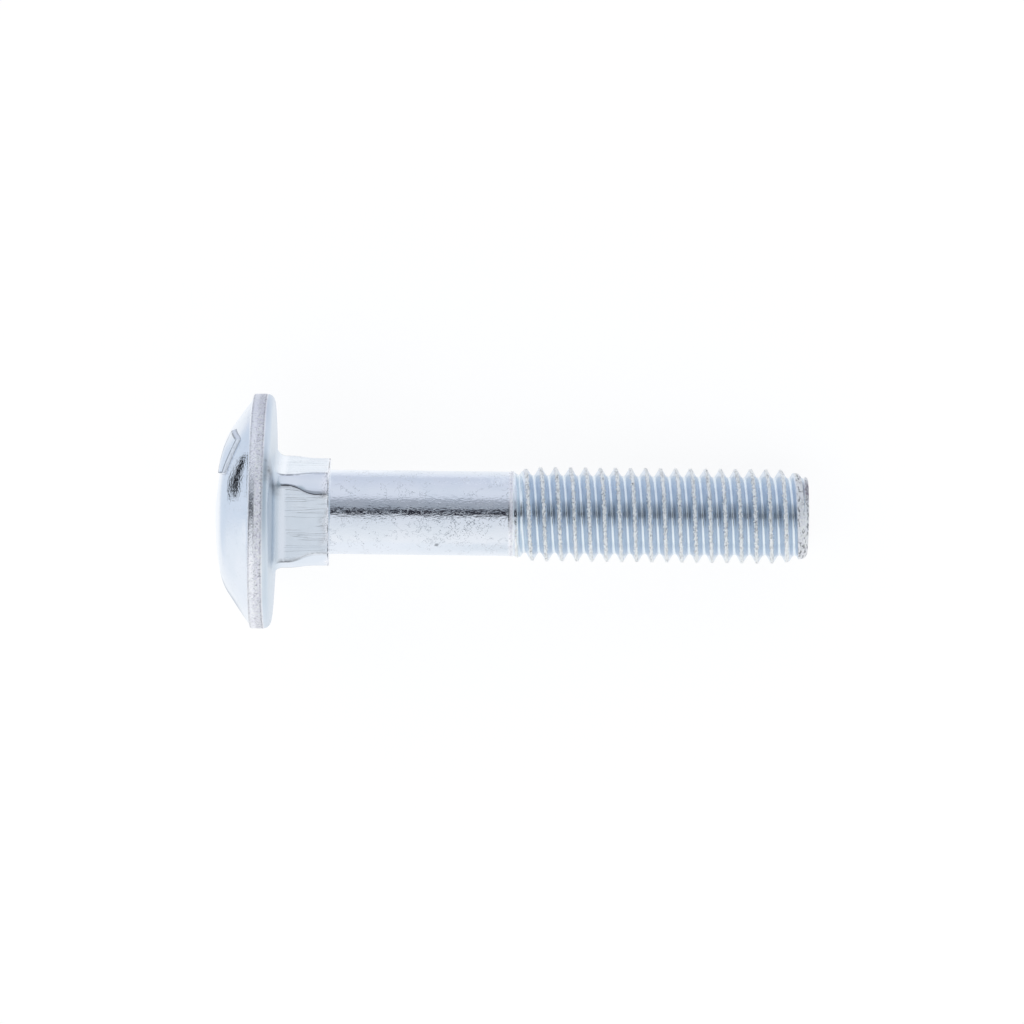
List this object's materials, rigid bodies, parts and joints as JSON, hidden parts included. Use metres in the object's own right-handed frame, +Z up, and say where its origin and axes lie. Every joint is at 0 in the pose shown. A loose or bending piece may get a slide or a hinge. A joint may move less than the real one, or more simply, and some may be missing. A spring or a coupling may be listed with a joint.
{
  "type": "carriage bolt",
  "caption": "Steel carriage bolt with a mushroom head, a square neck, a plain shank and a right-hand metric thread.",
  "frame": {"origin": "centre of the bearing face under the head, on the bolt's axis", "axes": "+Z up from the surface that the bolt lies on; the bolt's axis lies in the XZ plane with its tip towards +X, 7.79 degrees below level; +Y across the bolt"},
  "size_m": [0.0495, 0.0196, 0.0195],
  "materials": {
    "zinc_plated_steel": "bright zinc plating, slightly blue, rough on the rim, the thread's crests and the tip"
  },
  "bodies": {
    "root": {"bolt": "zinc_plated_steel"}
  },
  "joints": []
}
